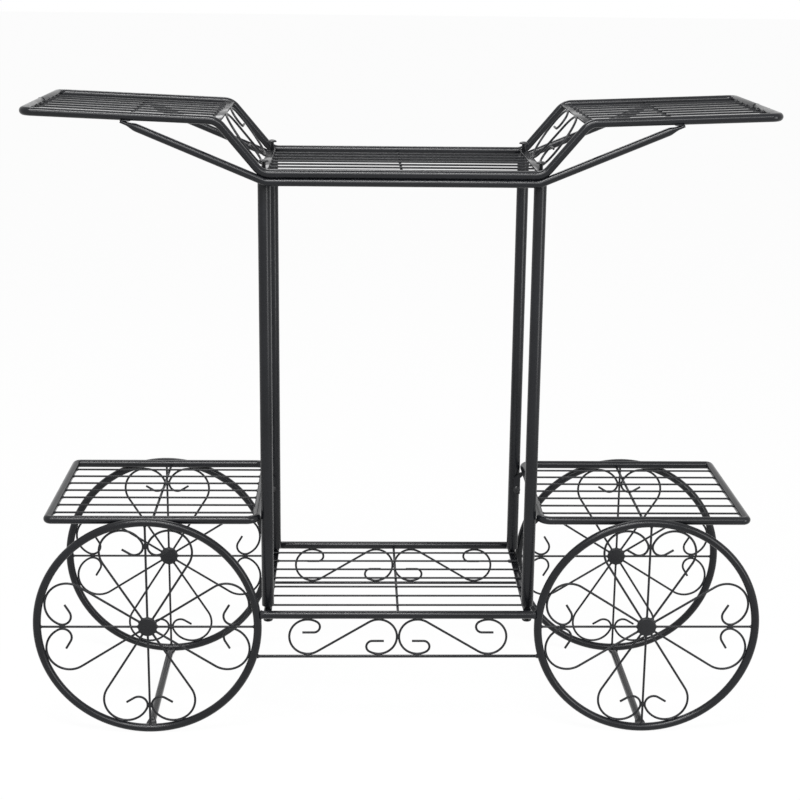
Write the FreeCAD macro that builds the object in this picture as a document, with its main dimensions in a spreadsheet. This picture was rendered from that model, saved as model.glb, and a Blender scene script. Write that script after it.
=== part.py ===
"""Flower cart stand: four wire wheels in two upright panels, two low side shelves over the
wheels, a centre shelf between the panels, four posts, and a bent top shelf with two wings."""

import FreeCAD, Part
import os
from math import acos, asin, atan, atan2, ceil, cos, degrees, pi, radians, sin, sqrt, tan
from FreeCAD import Placement, Rotation, Vector

doc = FreeCAD.newDocument("flower_cart_stand")
X_AXIS = Vector(1, 0, 0)
Y_AXIS = Vector(0, 1, 0)
Z_AXIS = Vector(0, 0, 1)
ORIGIN = Vector(0, 0, 0)

# ---------------------------------------------------------------- driving sizes (millimetres)

SIZES = (
    ("wing_span", 1110.0, "wing tip to wing tip, outside"),
    ("top_tube", 12.7, "tube of the two long top rails"),
    ("frame_tube", 12.7, "tube of the rims, the side shelves and the lower rails"),
    ("brace_tube", 12.0, "tube under the top shelf"),
    ("cross_tube", 12.0, "tube between a front and a rear wheel"),
    ("post_tube", 19.0, "outside of a post"),
    ("post_wall", 1.2, "wall of a post"),
    ("scroll_wire", 3.6, "wire of the scrolls and spokes"),
    ("slat_wire", 3.2, "wire of the shelf slats"),
    ("cross_wire", 4.0, "wire under the slats"),
    ("lower_wire", 4.8, "wire under the lower scrolls"),
    ("bar_width", 12.0, "flat bar, across"),
    ("bar_thickness", 3.0, "flat bar, through"),
    ("bar_offset", 2.5, "post bars off their rails' centre line, away from the posts' middle"),
    ("bend_bar_drop", 1.0, "wing bend bars under the corner of their rails' centre line"),
    ("top_half_depth", 157.5, "centre plane of a top rail"),
    ("panel_half_depth", 160.0, "centre plane of a wheel panel"),
    ("post_half_spacing", 204.0, "post centre, sideways"),
    ("post_inset", 9.65, "clear between a post and the top rail beside it"),
    ("centre_shelf_height", 883.0, "centre of the top rails over the posts"),
    ("wing_bend_half", 270.5, "upper bend of a top rail, sideways"),
    ("wing_bend_height", 959.5, "upper bend of a top rail"),
    ("wing_tip_height", 970.5, "centre of a top rail at the wing tip"),
    ("wing_corner_radius", 13.0, "bend of a top rail at the wing tip"),
    ("rail_bend_radius", 26.0, "the other bends of a top rail"),
    ("lower_bend_offset", 2.0, "lower bend of a top rail, outside the post centre"),
    ("brace_reach", 408.0, "where a brace meets the wing, sideways"),
    ("brace_bend_radius", 22.0, "bends of a brace"),
    ("pressed_thickness", 4.0, "pressed end of a brace or a cross tube, through"),
    ("pressed_width", 16.5, "pressed end of a brace or a cross tube, across"),
    ("pressed_length", 16.0, "pressed end of a brace or a cross tube, along"),
    ("wheel_gap", 2.5, "clear between a rim and the bar under the posts, sideways"),
    ("rim_radius", 171.15, "centre line of a rim"),
    ("hub_diameter", 30.0, "hub disc"),
    ("hub_thickness", 7.0, "hub disc, through"),
    ("hub_edge", 1.2, "broken edge of a hub disc"),
    ("heart_bend", 35.0, "large bend of a wheel scroll"),
    ("heart_curl", 13.8, "small curl of a wheel scroll"),
    ("heart_lean", 16.5, "lean of a wheel scroll from its spoke, degrees"),
    ("heart_tail", 14.0, "straight tail of a wheel scroll"),
    ("heart_tail_turn", 31.0, "turn of the curl into its tail, degrees"),
    ("lower_rail_height", 197.5, "centre of the lower rails"),
    ("lower_wire_height", 128.0, "centre of the lower wires"),
    ("panel_scroll_pitch", 110.8, "between the two rounds of a panel scroll"),
    ("panel_curl", 9.5, "small curl of a panel scroll"),
    ("panel_tail", 18.0, "straight tail of a panel scroll"),
    ("slope_scroll_pitch", 104.0, "between the two rounds of a slope scroll"),
    ("slope_curl", 14.0, "small curl of a slope scroll"),
    ("slope_tail", 26.0, "straight tail of a slope scroll"),
    ("curl_start", 60.0, "where a panel scroll turns into its curl, degrees"),
    ("side_shelf_gap", 0.5, "clear between a side shelf frame and the posts"),
    ("side_shelf_outer", 541.0, "outer end of a side shelf frame, tube centre"),
    ("side_inner_radius", 16.0, "inner bends of a side shelf frame"),
    ("side_outer_radius", 7.0, "outer bends of a side shelf frame"),
    ("slat_count", 7.0, "slats of each shelf"),
    ("top_slat_pitch", 36.0, "between slats of the top shelves"),
    ("side_slat_pitch", 37.5, "between slats of a side shelf"),
    ("lower_slat_gap", 4.65, "clear between a lower shelf's outer slats and the posts' ends"),
    ("weld_sink", 0.6, "how far a welded end goes into its seat"),
    ("bolt_shank", 6.0, "shank of a post bolt"),
    ("bolt_length", 42.0, "post bolt under its head"),
    ("bolt_head", 15.0, "mushroom head of a post bolt"),
    ("bolt_head_height", 3.6, "mushroom head, through"),
    ("bolt_clearance", 0.2, "around a shank in its hole, on the radius"),
    ("top_bolt_stand", 10.5, "how far the heads stand off the top bars"),
    ("low_bolt_stand", 14.0, "how far the heads stand off the lower bars"),
    ("neck_diameter", 11.5, "drawn-in end of a post"),
    ("neck_length", 5.5, "drawn-in end of a post, length"),
    ("neck_root", 5.0, "how far the thick end goes on inside a post"),
    ("lug_thickness", 3.0, "plate that ties a side shelf to a post"),
    ("lug_drop", 44.0, "the plate under the shelf frame"),
    ("lug_overlap", 11.0, "how far the plate reaches over its post"),
    ("lug_shoulder", 10.0, "height in which the plate leans out to the shelf frame"),
    ("lug_hole_up", 8.0, "hole above the plate's lower edge"),
    ("screw_shank", 5.0, "screw of a shelf plate"),
    ("screw_length", 16.0, "screw of a shelf plate under its head"),
    ("screw_head", 8.4, "head of that screw"),
    ("screw_head_height", 3.6, "head of that screw with its flange, through"),
    ("screw_flange", 12.0, "flange under that head"),
    ("screw_flange_thickness", 1.2, "flange under that head, through"),
    ("rail_sides", 12.0, "flat sides that stand in for a top rail's round"),
    ("tube_sides", 8.0, "flat sides that stand in for a thinner tube's round"),
    ("wire_sides", 6.0, "flat sides that stand in for a wire's round"),
    ("post_sides", 16.0, "flat sides that stand in for a post's round"),
    ("scroll_sides", 4.0, "flat sides that stand in for a scroll's round wire"),
    ("bolt_sides", 12.0, "flat sides that stand in for a bolt's round"),
    ("rim_steps", 40.0, "straight steps that a rim is made of"),
    ("bend_step", 30.0, "largest turn between two steps of a bend, degrees"),
    ("slope_step", 22.5, "largest turn between two steps of a slope scroll, degrees"),
)

sheet = doc.addObject("Spreadsheet::Sheet", "sizes")
for row, (alias, number, meaning) in enumerate(SIZES, start=1):
    sheet.set("A%d" % row, meaning)
    sheet.set("B%d" % row, "%g" % number)
    sheet.setAlias("B%d" % row, alias)
doc.recompute()


def size(alias):
    """Value of one driving size."""
    return float(getattr(sheet, alias))


# ---------------------------------------------------------------- sizes that follow from them

top_r = size("top_tube") / 2
frame_r = size("frame_tube") / 2
brace_r = size("brace_tube") / 2
cross_tube_r = size("cross_tube") / 2
scroll_r = size("scroll_wire") / 2
slat_r = size("slat_wire") / 2
cross_r = size("cross_wire") / 2
post_r = size("post_tube") / 2
sink = size("weld_sink")
bar_half = size("bar_width") / 2
bar_thick = size("bar_thickness")

top_y = size("top_half_depth")
panel_y = size("panel_half_depth")
side_y = panel_y - 2 * frame_r + sink
post_x = size("post_half_spacing")
post_y = top_y - top_r - size("post_inset") - post_r
rim_radius = size("rim_radius")
hub_x = post_x + bar_half + size("wheel_gap") + frame_r + rim_radius
hub_z = rim_radius + frame_r / cos(pi / size("rim_steps"))
side_z = hub_z + rim_radius
centre_z = size("centre_shelf_height")
upper_bar_z = centre_z + size("bar_offset")
lower_z = size("lower_rail_height")
lower_bar_z = lower_z - size("bar_offset")
wire_z = size("lower_wire_height")
low_bend_x = post_x + size("lower_bend_offset")
bend_x = size("wing_bend_half")
bend_z = size("wing_bend_height")
bend_bar_z = bend_z - size("bend_bar_drop")
tip_x = size("wing_span") / 2 - top_r
wing_rise = (size("wing_tip_height") - bend_z) / (tip_x - bend_x)
side_in = post_x + post_r + size("side_shelf_gap") + frame_r
side_out = size("side_shelf_outer")


def wing_z(x):
    """Height of a top rail's centre line out on a wing."""
    return bend_z + (abs(x) - bend_x) * wing_rise


# ---------------------------------------------------------------- helpers

nodes = []


def keep(thing, name):
    """Make a document object a sub-part: give it its label and list it."""
    thing.Label = name
    nodes.append(thing)
    return thing


def shape_node(name, solids):
    """A sub-part of one solid, or of a group of like solids."""
    thing = doc.addObject("Part::Feature", name)
    thing.Shape = solids[0] if len(solids) == 1 else Part.makeCompound(solids)
    return keep(thing, name)


def rod(name, tube_alias, sides_alias, start, end, wall=""):
    """A straight tube or wire between two points, or with a wall the bore of that tube."""
    piece = doc.addObject("Part::Prism", name)
    piece.setExpression("Circumradius", "sizes.%s / 2%s" % (tube_alias, wall))
    piece.setExpression("Polygon", "sizes.%s" % sides_alias)
    piece.Height = (end - start).Length
    piece.Placement = Placement(start, Rotation(Z_AXIS, end - start))
    return piece


def group(name, pieces):
    """Several solids that make one sub-part."""
    bundle = doc.addObject("Part::Compound", name)
    bundle.Links = pieces
    return keep(bundle, name)


def mirrored(solid, axis):
    return solid.mirror(ORIGIN, axis)


def moved(solid, placement):
    copy = solid.copy()
    copy.Placement = placement.multiply(copy.Placement)
    return copy


def new_sketch(body, role, name):
    """A sketch on one of the body's own planes."""
    plane = [item for item in body.Origin.OriginFeatures if item.Role == role][0]
    sketch = body.newObject("Sketcher::SketchObject", name)
    sketch.AttachmentSupport = [(plane, "")]
    sketch.MapMode = "FlatFace"
    return sketch


def sketch_outline(sketch, corners):
    """A closed outline of straight lines."""
    for (x, y), (next_x, next_y) in zip(corners, corners[1:] + corners[:1]):
        sketch.addGeometry(Part.LineSegment(Vector(x, y, 0), Vector(next_x, next_y, 0)))


def pad_body(name, sketch_role, fill_sketch, thickness_alias):
    """A plate: a sketch padded by a size of the sheet, half to each side."""
    body = doc.addObject("PartDesign::Body", name)
    sketch = new_sketch(body, sketch_role, name + "_outline")
    fill_sketch(sketch)
    pad = body.newObject("PartDesign::Pad", name + "_pad")
    pad.Profile = sketch
    pad.setExpression("Length", "sizes.%s" % thickness_alias)
    pad.Midplane = True
    sketch.Visibility = False
    return body, pad


# ---------------------------------------------------------------- bent tube and bent wire

def arc_points(centre, radius, start, end, step):
    """Points round an arc in the XY plane, no further apart than step degrees."""
    steps = max(1, ceil(abs(end - start) / radians(step) - 0.001))
    angles = [start + (end - start) * i / steps for i in range(steps + 1)]
    return [centre + Vector(cos(a), sin(a), 0) * radius for a in angles]


def rounded_points(corners, radii, closed=False):
    """A run of points through the corners, with each corner turned by the given radius."""
    points = []
    count = len(corners)
    for i, (corner, radius) in enumerate(zip(corners, radii)):
        if radius == 0:
            points.append(corner)
            continue
        back = (corners[i - 1] - corner).normalize()
        ahead = (corners[(i + 1) % count] - corner).normalize()
        half = back.getAngle(ahead) / 2
        first = corner + back * (radius / tan(half))
        centre = corner + (back + ahead).normalize() * (radius / sin(half))
        outward = (first - centre).normalize()
        turn = pi - 2 * half
        steps = ceil(turn / radians(size("bend_step")))
        for k in range(steps + 1):
            angle = turn * k / steps
            points.append(centre + (outward * cos(angle) - back * sin(angle)) * radius)
    return points


def slid(corner, along, point, square_to):
    """Where a line through corner meets the plane through point that is square to square_to."""
    return corner + along * ((point - corner).dot(square_to) / along.dot(square_to))


def tube_rings(points, radius, sides_alias, normal, closed=False):
    """Cross sections of a rod along a run of points, mitred where it turns. normal is square to
    the plane of the first turn, and two corners of every section lie in that plane."""
    sides = int(size(sides_alias))
    count = len(points)
    run_count = count if closed else count - 1
    runs = [(points[(i + 1) % count] - points[i]).normalize() for i in range(run_count)]
    inward = normal.cross(runs[0]).normalize()
    ring = []
    for k in range(sides):
        angle = 2 * pi * k / sides
        ring.append(points[0] + (inward * cos(angle) + normal * sin(angle)) * radius)
    if closed:
        ring = [slid(corner, runs[0], points[0], runs[0] + runs[-1]) for corner in ring]
    rings = [ring]
    for i in range(1, count):
        mitre = runs[i - 1] + runs[min(i, run_count - 1)]
        rings.append([slid(corner, runs[i - 1], points[i], mitre) for corner in rings[-1]])
    return rings


def pressed(ring, centre, wide, thin):
    """A section of a tube that is squeezed flat: wider one way, thinner the other."""
    reach = max((corner - centre).dot(wide) for corner in ring)
    half = size("pressed_thickness") / 2
    squeezed = []
    for corner in ring:
        across = (corner - centre).dot(wide) * size("pressed_width") / 2 / reach
        up = max(-half, min(half, (corner - centre).dot(thin)))
        squeezed.append(centre + wide * across + thin * up)
    return squeezed


def skinned(rings, closed=False):
    """The solid whose skin runs from ring to ring, with flat ends unless it is closed."""
    faces = []
    pairs = list(zip(rings, rings[1:]))
    if closed:
        pairs.append((rings[-1], rings[0]))
    else:
        faces = [Part.Face(Part.makePolygon(ring + ring[:1])) for ring in (rings[0], rings[-1])]
    for near, far in pairs:
        for k in range(len(near)):
            a, b, c, d = near[k - 1], near[k], far[k], far[k - 1]
            normal = (b - a).cross(d - a).normalize()
            outlines = [[a, b, c, d, a]]
            if abs((c - a).dot(normal)) > 1e-6:
                outlines = [[a, b, c, a], [a, c, d, a]]
            faces += [Part.Face(Part.makePolygon(outline)) for outline in outlines]
    shell = Part.Compound(faces)
    shell.sewShape()
    solid = Part.Solid(shell.Shells[0])
    if solid.Volume < 0:
        solid.reverse()
    return solid


def bent_rod(points, radius, sides_alias, normal, closed=False):
    return skinned(tube_rings(points, radius, sides_alias, normal, closed), closed)


def pressed_rod(points, radius, sides_alias, normal, wide):
    """A rod whose two ends are squeezed flat, wide in the given direction."""
    length = size("pressed_length")
    first = (points[1] - points[0]).normalize()
    last = (points[-2] - points[-1]).normalize()
    run = [points[0], points[0] + first * length, points[0] + first * length * 2] + points[1:-1]
    run += [points[-1] + last * length * 2, points[-1] + last * length, points[-1]]
    rings = tube_rings(run, radius, sides_alias, normal)
    for i, along in ((0, first), (1, first), (-2, last), (-1, last)):
        rings[i] = pressed(rings[i], run[i], wide, wide.cross(along).normalize())
    return skinned(rings)


# ---------------------------------------------------------------- top shelf: the two long rails

def top_rail(name, side):
    """One tube bent from wing tip to wing tip; its ends meet the other rail's in a weld seam
    half way along the wing tips. side is -1 in front and 1 behind."""
    y = side * top_y
    half = [
        Vector(tip_x, 0, wing_z(tip_x)),
        Vector(tip_x, y, wing_z(tip_x)),
        Vector(bend_x, y, bend_z),
        Vector(low_bend_x, y, centre_z),
    ]
    corners = half + [Vector(-p.x, p.y, p.z) for p in reversed(half)]
    corner, bend = size("wing_corner_radius"), size("rail_bend_radius")
    points = rounded_points(corners, [0, corner, bend, bend, bend, bend, corner, 0])
    wing_normal = Vector(wing_rise, 0, -1).normalize()
    shape_node(name, [bent_rod(points, top_r, "rail_sides", wing_normal)])


top_rail("front_top_rail", -1)
top_rail("rear_top_rail", 1)


# ---------------------------------------------------------------- flat bars across the frames

def flat_bar(name, x, z, half_length, drilled):
    """A flat bar from a front rail to a rear rail, drilled at each end for a post bolt or plain."""
    def fill(sketch):
        sketch_outline(sketch, [(-bar_half, -half_length), (bar_half, -half_length),
                                (bar_half, half_length), (-bar_half, half_length)])
        hole_r = size("bolt_shank") / 2 + size("bolt_clearance")
        for y in (-post_y, post_y) if drilled else ():
            sketch.addGeometry(Part.Circle(Vector(0, y, 0), Z_AXIS, hole_r))

    body = pad_body(name, "XY_Plane", fill, "bar_thickness")[0]
    body.Placement = Placement(Vector(x, 0, z), Rotation())
    keep(body, name)


for word, side in (("left", -1), ("right", 1)):
    flat_bar(word + "_wing_bend_bar", side * bend_x, bend_bar_z, top_y - top_r + sink, False)
    flat_bar(word + "_upper_post_bar", side * post_x, upper_bar_z, top_y - top_r, True)
    flat_bar(word + "_lower_post_bar", side * post_x, lower_bar_z, panel_y - frame_r + sink, True)


# ---------------------------------------------------------------- shelf slats and cross wires

slat_count = int(size("slat_count"))


def slats(name, left_x, left_z, right_x, right_z, pitch):
    """Parallel wires from one end of a shelf to the other."""
    wires = []
    for i in range(slat_count):
        y = (i - (slat_count - 1) / 2) * pitch
        wires.append(rod("%s_%d" % (name, i + 1), "slat_wire", "wire_sides",
                         Vector(left_x, y, left_z), Vector(right_x, y, right_z)))
    group(name, wires)


def cross_wire(name, x, slat_z, rail_y, rail_r):
    """One wire under the slats, from the front rail to the rear rail."""
    drop = slat_r + cross_r - sink / 2
    half_length = rail_y - sqrt(rail_r ** 2 - drop ** 2) + sink
    keep(rod(name, "cross_wire", "tube_sides", Vector(x, -half_length, slat_z - drop),
             Vector(x, half_length, slat_z - drop)), name)


slat_end = post_x + bar_half / 2
upper_slat_z = upper_bar_z - bar_thick / 2 - slat_r + sink / 2
lower_slat_z = lower_bar_z + bar_thick / 2 + slat_r - sink / 2
slats("centre_shelf_slats", -slat_end, upper_slat_z, slat_end, upper_slat_z,
      size("top_slat_pitch"))
outer_slat_y = post_y - size("neck_diameter") / 2 - size("lower_slat_gap") - slat_r
slats("lower_shelf_slats", -slat_end, lower_slat_z, slat_end, lower_slat_z,
      2 * outer_slat_y / (slat_count - 1))
cross_wire("centre_shelf_cross_wire", 0, upper_slat_z, top_y, top_r)
cross_wire("lower_shelf_cross_wire", 0, lower_slat_z, panel_y, frame_r)

for word, side in (("left", -1), ("right", 1)):
    start = bend_x + bar_half - sink
    end = tip_x - top_r + sink
    slats(word + "_wing_slats", side * start, wing_z(start), side * end, wing_z(end),
          size("top_slat_pitch"))
    cross_x = size("brace_reach") - brace_r
    cross_wire(word + "_wing_cross_wire", side * cross_x, wing_z(cross_x), top_y, top_r)
    start = side_in + frame_r - sink
    end = side_out - frame_r + sink
    slats(word + "_side_shelf_slats", side * start, side_z, side * end, side_z,
          size("side_slat_pitch"))
    cross_wire(word + "_side_shelf_cross_wire", side * (side_in + side_out) / 2, side_z,
               side_y, frame_r)


# ---------------------------------------------------------------- braces under the top shelf

def brace(name, side):
    """A bent tube, level under the centre shelf and sloping up to the wings, with pressed ends
    welded under the wing rails. It runs low enough for only these ends to meet the wings."""
    y = side * top_y
    reach = size("brace_reach")
    half_pressed = size("pressed_thickness") / 2
    end_z = wing_z(reach) - top_r - half_pressed + sink
    bend = low_bend_x - brace_r
    from_wing = asin((brace_r - half_pressed + sink) / (2 * size("pressed_length")))
    clear_level = end_z - tan(atan(wing_rise) + from_wing) * (reach - bend)
    level = min(centre_z - top_r - brace_r + sink / 2, clear_level)
    corners = [Vector(-reach, y, end_z), Vector(-bend, y, level),
               Vector(bend, y, level), Vector(reach, y, end_z)]
    turn = size("brace_bend_radius")
    points = rounded_points(corners, [0, turn, turn, 0])
    shape_node(name, [pressed_rod(points, brace_r, "tube_sides", Y_AXIS, Y_AXIS)])


brace("front_brace", -1)
brace("rear_brace", 1)


# ---------------------------------------------------------------- wheels

def half_heart():
    """Half a heart beside the upright spoke, in the XY plane: a straight wire from the hub, a
    big bend that touches the rim, a small curl that touches the spoke, and a straight tail."""
    bend, curl, step = size("heart_bend"), size("heart_curl"), size("bend_step")
    lean = radians(size("heart_lean"))
    reach = rim_radius - frame_r - scroll_r - bend + sink / 2
    big = Vector(sin(lean), cos(lean), 0) * reach
    curl_x = curl + 2 * scroll_r - sink / 3
    rise = sqrt(max(0, (bend - curl) ** 2 - (big.x - curl_x) ** 2))
    small = Vector(curl_x, big.y + rise, 0)
    across = small - big
    line_angle = pi / 2 - lean - asin(bend / reach)
    hub_end = Vector(cos(line_angle), sin(line_angle), 0) * (size("hub_diameter") / 2 - sink)
    rim_touch = pi / 2 - lean
    join = atan2(across.y, across.x) - acos(min(1, (bend - curl) / across.Length))
    release = 3 * pi / 2 + radians(size("heart_tail_turn"))
    points = [hub_end]
    points += arc_points(big, bend, line_angle - pi / 2, rim_touch, step)
    points += arc_points(big, bend, rim_touch, join, step)[1:]
    curl_points = arc_points(small, curl, join, pi, step)
    straight_between = (curl_points[0] - points[-1]).Length > sink
    points += curl_points if straight_between else curl_points[1:]
    points += arc_points(small, curl, pi, release, step)[1:]
    points.append(points[-1] + Vector(-sin(release), cos(release), 0) * size("heart_tail"))
    return bent_rod(points, scroll_r, "scroll_sides", Z_AXIS)


def hub_disc(name, centre):
    """A thick round disc with its two edges broken."""
    def fill(sketch):
        sketch.addGeometry(Part.Circle(ORIGIN, Z_AXIS, size("hub_diameter") / 2))

    body, pad = pad_body(name, "XY_Plane", fill, "hub_thickness")
    doc.recompute()
    edges = ["Edge%d" % (i + 1) for i, edge in enumerate(pad.Shape.Edges) if edge.Closed]
    chamfer = body.newObject("PartDesign::Chamfer", name + "_edge")
    chamfer.Base = (pad, edges)
    chamfer.setExpression("Size", "sizes.hub_edge")
    body.Placement = Placement(centre, Rotation(X_AXIS, 90))
    keep(body, name)


heart_wires = []
right_half = half_heart()
for quarter in range(4):
    for solid in (right_half, mirrored(right_half, X_AXIS)):
        heart_wires.append(moved(solid, Placement(ORIGIN, Rotation(Z_AXIS, 90 * quarter))))

steps = int(size("rim_steps"))
rim_points = arc_points(ORIGIN, rim_radius, 0, 2 * pi, 360 / steps)[:-1]
rim = bent_rod(rim_points, frame_r, "tube_sides", Z_AXIS, closed=True)


def wheel(name, x_side, y_side):
    """A rim of tube, a hub disc, four straight spokes and eight half hearts of wire."""
    centre = Vector(x_side * hub_x, y_side * panel_y, hub_z)
    upright = Placement(centre, Rotation(X_AXIS, 90))
    shape_node(name + "_rim", [moved(rim, upright)])
    hub_disc(name + "_hub", centre)
    shape_node(name + "_hearts", [moved(solid, upright) for solid in heart_wires])
    inner, outer = size("hub_diameter") / 2 - sink, rim_radius - frame_r + sink
    spokes = []
    for away in (X_AXIS, Z_AXIS, -X_AXIS, -Z_AXIS):
        spokes.append(rod("%s_spoke_%d" % (name, len(spokes) + 1), "scroll_wire", "wire_sides",
                          centre + away * inner, centre + away * outer))
    group(name + "_spokes", spokes)


for depth_word, y_side in (("front", -1), ("rear", 1)):
    for side_word, x_side in (("left", -1), ("right", 1)):
        wheel("%s_%s_wheel" % (depth_word, side_word), x_side, y_side)

for word, side in (("left", -1), ("right", 1)):
    end_y = panel_y - frame_r + sink
    low_z = hub_z - rim_radius
    points = [Vector(side * hub_x, y, low_z) for y in (-end_y, 0, end_y)]
    tube = pressed_rod(points, cross_tube_r, "tube_sides", Z_AXIS, X_AXIS)
    shape_node(word + "_wheel_cross_tube", [tube])


# ---------------------------------------------------------------- lower rails, wires and scrolls

def s_scroll(radius, right, curl, tail, step):
    """An S centred on the origin: two rounds, one about the point right and one opposite it,
    joined by a straight diagonal that touches both, each ending in a small curl and a tail."""
    leave = pi / 2 + asin(radius / right.Length) + atan2(right.y, right.x)
    turn_in = radians(size("curl_start")) - pi
    points = []
    for start, end in ((leave, pi / 2), (pi / 2, 0), (0, -pi / 2), (-pi / 2, turn_in)):
        points += arc_points(right, radius, start, end, step)[1 if points else 0:]
    curl_centre = right + Vector(cos(turn_in), sin(turn_in), 0) * (radius - curl)
    points += arc_points(curl_centre, curl, turn_in, -3 * pi / 2, step)[1:]
    points.append(points[-1] + Vector(tail, 0, 0))
    far_half = [Vector(-p.x, -p.y, 0) for p in reversed(points)]
    return bent_rod(far_half + points, scroll_r, "scroll_sides", Z_AXIS)


def rim_side(z):
    """Sideways reach of a level member that is welded to the inner side of the rims."""
    return hub_x - sqrt((rim_radius + frame_r) ** 2 - (z - hub_z) ** 2) + 2 * sink


gap_top = lower_z - frame_r
gap_bottom = wire_z + size("lower_wire") / 2
panel_round = (gap_top - gap_bottom) / 2 - scroll_r + sink / 4
pitch = size("panel_scroll_pitch")
panel_s = s_scroll(panel_round, Vector(pitch / 2, 0, 0), size("panel_curl"), size("panel_tail"),
                   size("bend_step"))
s_x = panel_round + scroll_r + pitch / 2 - sink / 4
for word, side in (("front", -1), ("rear", 1)):
    y = side * panel_y
    for part, alias, z in (("_lower_rail", "frame_tube", lower_z),
                           ("_lower_wire", "lower_wire", wire_z)):
        reach = rim_side(z)
        keep(rod(word + part, alias, "tube_sides", Vector(-reach, y, z), Vector(reach, y, z)),
             word + part)
    scrolls = []
    for solid, x in ((panel_s, -s_x), (mirrored(panel_s, X_AXIS), s_x)):
        place = Placement(Vector(x, y, (gap_top + gap_bottom) / 2), Rotation(X_AXIS, 90))
        scrolls.append(moved(solid, place))
    shape_node(word + "_panel_scrolls", scrolls)


# ---------------------------------------------------------------- scrolls in the two slopes

# The wire is welded against the edges of the two bars. Its rounds are as large as the slope and
# their pitch let them be, and in a longer slope one round moves down and the other up.

slope_low = Vector(post_x + bar_half + scroll_r - sink, 0, upper_bar_z)
slope_high = Vector(bend_x - bar_half - scroll_r + sink, 0, bend_bar_z)
slope = slope_high - slope_low
half_pitch = size("slope_scroll_pitch") / 2
slope_round = min(slope.Length / 2, half_pitch - 2 * scroll_r)
slope_s = s_scroll(slope_round, Vector(half_pitch, slope.Length / 2 - slope_round, 0),
                   size("slope_curl"), size("slope_tail"), size("slope_step"))
for word, side in (("left", -1), ("right", 1)):
    lying = moved(slope_s, Placement(ORIGIN, Rotation(Z_AXIS, 90)))
    tilt = Rotation(Y_AXIS, -degrees(atan2(slope.z, slope.x)))
    solid = moved(lying, Placement((slope_low + slope_high) / 2, tilt))
    shape_node(word + "_slope_scroll", [solid if side > 0 else mirrored(solid, X_AXIS)])


# ---------------------------------------------------------------- side shelf frames and lugs

def turned(profile):
    """A bolt or screw about Z, from (radius, height) points; flat sides stand in for its round."""
    sides = int(size("bolt_sides"))
    angles = [2 * pi * k / sides for k in range(sides)]
    return skinned([[Vector(r * cos(a), r * sin(a), z) for a in angles] for r, z in profile])


for word, side in (("left", -1), ("right", 1)):
    corners = [Vector(side * x, y, side_z) for x, y in
               (((side_in + side_out) / 2, -side_y), (side_out, -side_y), (side_out, side_y),
                (side_in, side_y), (side_in, -side_y))]
    outer, inner = size("side_outer_radius"), size("side_inner_radius")
    points = rounded_points(corners, [0, outer, outer, inner, inner])
    frame = bent_rod(points, frame_r, "tube_sides", Z_AXIS, closed=True)
    shape_node(word + "_side_shelf_frame", [frame])

lug_inner = post_x + post_r - size("lug_overlap")
lug_outer = side_in + frame_r / 2
lug_low = side_z - size("lug_drop")
lug_top = side_z - frame_r + sink
lug_neck = lug_top - size("lug_shoulder")
lug_thick = size("lug_thickness")
screw_x = (lug_inner + post_x + post_r) / 2
screw_z = lug_low + size("lug_hole_up")
lug_y = post_y - post_r - lug_thick / 2
screw_hole_r = size("screw_shank") / 2 + size("bolt_clearance")

plate = Part.Face(Part.makePolygon([
    Vector(x, lug_y - lug_thick / 2, z) for x, z in
    ((lug_inner, lug_low), (post_x + post_r, lug_low), (post_x + post_r, lug_neck),
     (lug_outer, lug_top), (side_in - frame_r, lug_top), (lug_inner, lug_neck),
     (lug_inner, lug_low))])).extrude(Vector(0, lug_thick, 0))
screw_place = Placement(Vector(screw_x, lug_y - lug_thick / 2, screw_z), Rotation(X_AXIS, 90))
drill = Part.makeCylinder(screw_hole_r, 3 * lug_thick, Vector(0, 0, -2 * lug_thick))
lug = plate.cut(moved(drill, screw_place))

shank, head = size("screw_shank") / 2, size("screw_head") / 2
flange, flange_thick = size("screw_flange") / 2, size("screw_flange_thickness")
head_high = size("screw_head_height")
screw = moved(turned([(shank, -size("screw_length")), (shank, 0), (flange, 0),
                      (flange, flange_thick), (head, flange_thick), (head * 0.8, head_high)]),
              screw_place)


def four_corners(solid):
    """The solid at the right rear, and its mirror images at the other three corners."""
    pair = [solid, mirrored(solid, X_AXIS)]
    return pair + [mirrored(each, Y_AXIS) for each in pair]


shape_node("side_shelf_lugs", four_corners(lug))
shape_node("lug_screws", four_corners(screw))


# ---------------------------------------------------------------- posts and their bolts

post_low = lower_bar_z + bar_thick / 2
post_high = upper_bar_z - bar_thick / 2


def post(name, x_side, y_side):
    """A tube whose ends are drawn in and threaded for the bolts, drilled for a lug screw."""
    def at(z):
        return Vector(x_side * post_x, y_side * post_y, z)

    neck, root = size("neck_length"), size("neck_length") + size("neck_root")
    tube = rod(name + "_tube", "post_tube", "post_sides", at(post_low + neck),
               at(post_high - neck))
    necks = rod(name + "_necks", "neck_diameter", "post_sides", at(post_low), at(post_high))
    bore = rod(name + "_bore", "post_tube", "post_sides", at(post_low + root),
               at(post_high - root), " - sizes.post_wall")
    threads = rod(name + "_threads", "bolt_shank", "bolt_sides", at(post_low), at(post_high))
    hole_start = Vector(x_side * screw_x, y_side * post_y, screw_z)
    hole_end = Vector(x_side * screw_x, y_side * (post_y - 2 * post_r), screw_z)
    hole = rod(name + "_screw_hole", "screw_shank", "bolt_sides", hole_start, hole_end)
    full = doc.addObject("Part::MultiFuse", name + "_full")
    full.Shapes = [tube, necks]
    hollow = doc.addObject("Part::MultiFuse", name + "_hollow")
    hollow.Shapes = [bore, threads, hole]
    cut = doc.addObject("Part::Cut", name)
    cut.Base = full
    cut.Tool = hollow
    keep(cut, name)


for depth_word, y_side in (("front", -1), ("rear", 1)):
    for side_word, x_side in (("left", -1), ("right", 1)):
        post("%s_%s_post" % (depth_word, side_word), x_side, y_side)

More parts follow.
